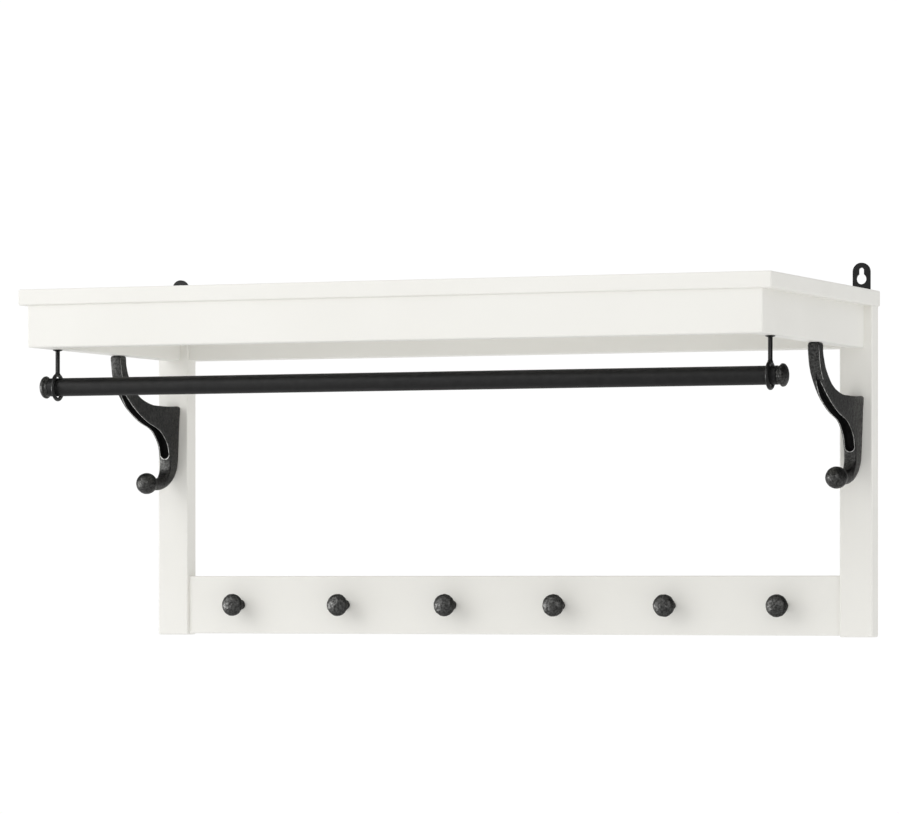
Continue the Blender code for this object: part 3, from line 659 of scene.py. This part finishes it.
def add_screw_eyes(steel):
    """A ring, a shank that flares into it, and a dished collar under the side rail."""
    for side, _ in SIDES:
        node = f"screw_eye_{side}"
        axis = Vector((middle_of(node).x, middle_of("rail_tube").y, middle_of("rail_tube").z))
        ring_radius = axis.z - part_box(node)[0].z - EYE_WIRE
        turned = Matrix.Rotation(EYE_TURN, 3, "Z")
        rings = []
        for step in range(EYE_AROUND):
            spoke = Matrix.Rotation(2 * math.pi * step / EYE_AROUND, 3, "X") @ UP
            ring = []
            for part in range(EYE_SECTION):
                angle = 2 * math.pi * part / EYE_SECTION
                point = spoke * (ring_radius + EYE_WIRE * math.cos(angle))
                ring.append(axis + turned @ (point + Vector((EYE_WIRE * math.sin(angle), 0, 0))))
            rings.append(ring)
        bm = rings_to_mesh(rings, closed=True)
        eye = add_piece(f"screw_eye_ring_{side}", bm, steel, node)
        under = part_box(f"side_rail_{side}")[0].z - GAP - axis.z
        foot = ring_radius - EYE_WIRE * 0.3
        flare = [(0, foot), (EYE_SHANK + 0.0004, foot), (EYE_SHANK + 0.0005, foot + 0.0012)]
        dish = [(EYE_SHANK, under - 0.0019), (EYE_SHANK + 0.0004, under - 0.0016)]
        dish.append((EYE_COLLAR - 0.0006, under - 0.0010))
        dish += [(EYE_COLLAR, under - 0.0006), (EYE_COLLAR, under - 0.0001), (EYE_COLLAR - 0.0003, under)]
        sunk = [(EYE_SHANK, under), (EYE_SHANK, under + EYE_SUNK), (0.0004, under + EYE_POINT)]
        profile = [*flare, (EYE_SHANK, foot + 0.0034), *dish, *sunk, (0, under + EYE_POINT)]
        cut(eye, add_mesh("shank", lathe(profile, axis, UP, 36), steel), "UNION")


# Hanger plates and screws

PLATE_CHAMFER = 0.002
PLATE_EDGE = 0.0003
KEYHOLE_RADIUS, KEYHOLE_SLOT = 0.0057, 0.003  # the slot's is half its width
KEYHOLE_DROP, SLOT_DROP = 0.0176, 0.0054  # from the plate's top to the hole's middle, and to the slot's end
PLATE_SINK = (  # a countersink's profile
    (0, -0.002),
    (0.0040, -0.002),
    (0.0040, 0.0004),
    (0.0021, 0.0022),
    (0.0021, 0.006),
    (0, 0.006),
)
HEAD_CROWN = ((0.55, 0.00004), (0.93, 0.00022))  # shares of a screw head's radius, and depths
HEAD_EDGE = 0.0005
# Shares of a screw head's radius: the shank's radius, and the depth of the head's cone
SHANK_SHARE, CONE_SHARE = 0.52, 0.62
# Shares of it again: a cross recess's length at its mouth and at its bed, and its width
RECESS_MOUTH, RECESS_BED, RECESS_WIDE = 1.25, 0.62, 0.24
RECESS_DEEP = 0.0034  # of which half is in the head
RECESS_TURNS = (20, 110)  # degrees


def add_hanger_plates(steel):
    """Round-topped plates with a keyhole and two countersinks."""
    for side, _ in SIDES:
        node = f"hanger_plate_{side}"
        low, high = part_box(node)
        centre, half = (low.x + high.x) / 2, (high.x - low.x) / 2
        outline = arc((centre, high.z - half), half, 0, 180, 28)
        outline += [(low.x, low.z + PLATE_CHAMFER), (low.x + PLATE_CHAMFER, low.z)]
        outline += [(high.x - PLATE_CHAMFER, low.z), (high.x, low.z + PLATE_CHAMFER)]
        mouth = math.degrees(math.asin(KEYHOLE_SLOT / KEYHOLE_RADIUS))
        keyhole = arc((centre, high.z - KEYHOLE_DROP), KEYHOLE_RADIUS, 90 + mouth, 450 - mouth, 36)
        keyhole += arc((centre, high.z - SLOT_DROP - KEYHOLE_SLOT), KEYHOLE_SLOT, 0, 180, 16)
        plate = add_piece(f"hanger_{side}", slab(outline, low.y, high.y), steel, node)
        cut(plate, add_mesh("keyhole", slab(keyhole, low.y - 0.002, high.y + 0.002), steel))
        for place in ("upper", "lower"):
            spot = middle_of(f"plate_screw_{side}_{place}")
            bm = lathe(PLATE_SINK, (spot.x, high.y, spot.z), FORWARD, 28)
            cut(plate, add_mesh("countersink", bm, steel))
        edge = plate.modifiers.new("edges", "BEVEL")
        edge.width, edge.segments = PLATE_EDGE, 2
        edge.limit_method, edge.angle_limit = "ANGLE", math.radians(50)
        weighted(plate)


def add_screws(metal):
    """Countersunk screws with a cross recess, seen from behind."""
    names = [name for name in sorted(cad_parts) if "screw_" in name or "bolt" in name]
    for name in names:
        if name.startswith(("screw_eye", "hook_arm")):
            continue
        low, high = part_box(name)
        centre, head = (low + high) / 2, (high.x - low.x) / 2
        length, shank = high.y - low.y, head * SHANK_SHARE
        profile = [(0, 0), *[(head * share, deep) for share, deep in HEAD_CROWN], (head, HEAD_EDGE)]
        profile += [(shank, head * CONE_SHARE), (shank, length - shank * 1.6)]
        profile += [(shank * 0.2, length), (0, length)]
        bm = lathe(profile, (centre.x, high.y, centre.z), FORWARD, 32)
        screw = add_piece(f"cross_{name}", bm, metal, name, smooth=35)
        for angle in RECESS_TURNS:
            recess = bmesh.new()
            bmesh.ops.create_cube(recess, size=1)
            for corner in recess.verts:
                arm = head * (RECESS_BED if corner.co.y < 0 else RECESS_MOUTH)
                corner.co *= Vector((arm, RECESS_DEEP, head * RECESS_WIDE))
            place = Matrix.Translation((centre.x, high.y, centre.z))
            place @= Matrix.Rotation(math.radians(angle), 4, "Y")
            bmesh.ops.transform(recess, matrix=place, verts=recess.verts)
            cut(screw, add_mesh("recess", recess, metal))


def finish_hidden_nodes(dowel_wood, metal):
    """The dowels and the screws sealed in the wood keep their CAD meshes, with these finishes."""
    for name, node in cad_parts.items():
        if "dowel" in name or name.startswith("hook_arm_screw"):
            node.data.materials.clear()
            node.data.materials.append(dowel_wood if "dowel" in name else metal)


# Room, light and camera

def add_floor():
    bm = bmesh.new()
    bmesh.ops.create_grid(bm, x_segments=1, y_segments=1, size=FLOOR_HALF)
    mesh = bpy.data.meshes.new("floor")
    bm.to_mesh(mesh)
    bm.free()
    made = Shader("floor_plaster")
    made.colour(made.spread(made.noise(0.8), 0, 1), (0.90, 0.90, 0.90), (0.92, 0.92, 0.92))
    made.shader.inputs["Roughness"].default_value = 0.9
    mesh.materials.append(made.material)
    floor = bpy.data.objects.new("floor", mesh)
    floor.location.z = -WALL_HEIGHT
    bpy.context.scene.collection.objects.link(floor)


def add_backdrop():
    """A plain white world, which is dimmer as light, and dimmer still in glossy reflections."""
    world = bpy.data.worlds.new("studio")
    bpy.context.scene.world = world
    world.use_nodes = True
    nodes, links = world.node_tree.nodes, world.node_tree.links
    seen, lit, mirrored = nodes["Background"], *[nodes.new("ShaderNodeBackground") for _ in range(2)]
    for node, strength in ((seen, BACKDROP_SEEN), (lit, BACKDROP_LIT), (mirrored, BACKDROP_MIRRORED)):
        node.inputs["Color"].default_value = (1, 1, 1, 1)
        node.inputs["Strength"].default_value = strength
    path = nodes.new("ShaderNodeLightPath")
    soft, mix = nodes.new("ShaderNodeMixShader"), nodes.new("ShaderNodeMixShader")
    links.new(path.outputs["Is Glossy Ray"], soft.inputs["Fac"])
    links.new(lit.outputs["Background"], soft.inputs[1])
    links.new(mirrored.outputs["Background"], soft.inputs[2])
    links.new(path.outputs["Is Camera Ray"], mix.inputs["Fac"])
    links.new(soft.outputs["Shader"], mix.inputs[1])
    links.new(seen.outputs["Background"], mix.inputs[2])
    links.new(mix.outputs["Shader"], nodes["World Output"].inputs["Surface"])


def add_light(name, place, target, size, power):
    light = bpy.data.lights.new(name, "AREA")
    light.shape = "RECTANGLE"
    light.size, light.size_y = size
    light.energy = power
    lamp = bpy.data.objects.new(name, light)
    lamp.location = place
    lamp.rotation_euler = (Vector(target) - Vector(place)).to_track_quat("-Z", "Y").to_euler()
    bpy.context.scene.collection.objects.link(lamp)
    return lamp


def add_camera():
    camera = bpy.data.cameras.new("camera")
    camera.lens, camera.sensor_width, camera.shift_y = CAMERA_LENS, CAMERA_SENSOR, CAMERA_SHIFT
    camera.clip_start, camera.clip_end = 0.1, 60
    eye = bpy.data.objects.new("camera", camera)
    eye.location = CAMERA_PLACE
    eye.rotation_euler = (math.pi / 2, 0, CAMERA_TURN)
    bpy.context.scene.collection.objects.link(eye)
    bpy.context.scene.camera = eye


def main():
    paints = {axis: painted_wood(f"white_paint_grain_{axis.lower()}", axis) for axis in "XYZ"}
    iron, screw_zinc = cast_iron("cast_iron"), zinc("zinc")
    lacquer = satin_steel("tube_lacquer", 0.45, 0.53, 0.20)
    steel = satin_steel("black_steel", 0.30, 0.38, 0.25)
    add_woodwork(paints)
    # A hook's second finish is painted shade for its channel, its third a painted highlight for the rims and
    # front edge.
    add_hooks(iron, painted_shade_iron("channel_iron"), painted_highlight_rim("rim_iron"))
    add_knobs(iron)
    add_clothes_rail(lacquer, iron)
    add_screw_eyes(steel)
    add_hanger_plates(steel)
    add_screws(screw_zinc)
    finish_hidden_nodes(beech("beech"), screw_zinc)
    add_floor()
    add_backdrop()
    add_light(*KEY_LIGHT)
    for gloss in GLOSS_LIGHTS:
        lamp = add_light(*gloss)
        lamp.visible_diffuse = lamp.visible_camera = False
    add_light(*FILL_LIGHT).visible_glossy = False
    add_camera()
    bpy.context.scene.view_settings.view_transform = "Standard"


main()
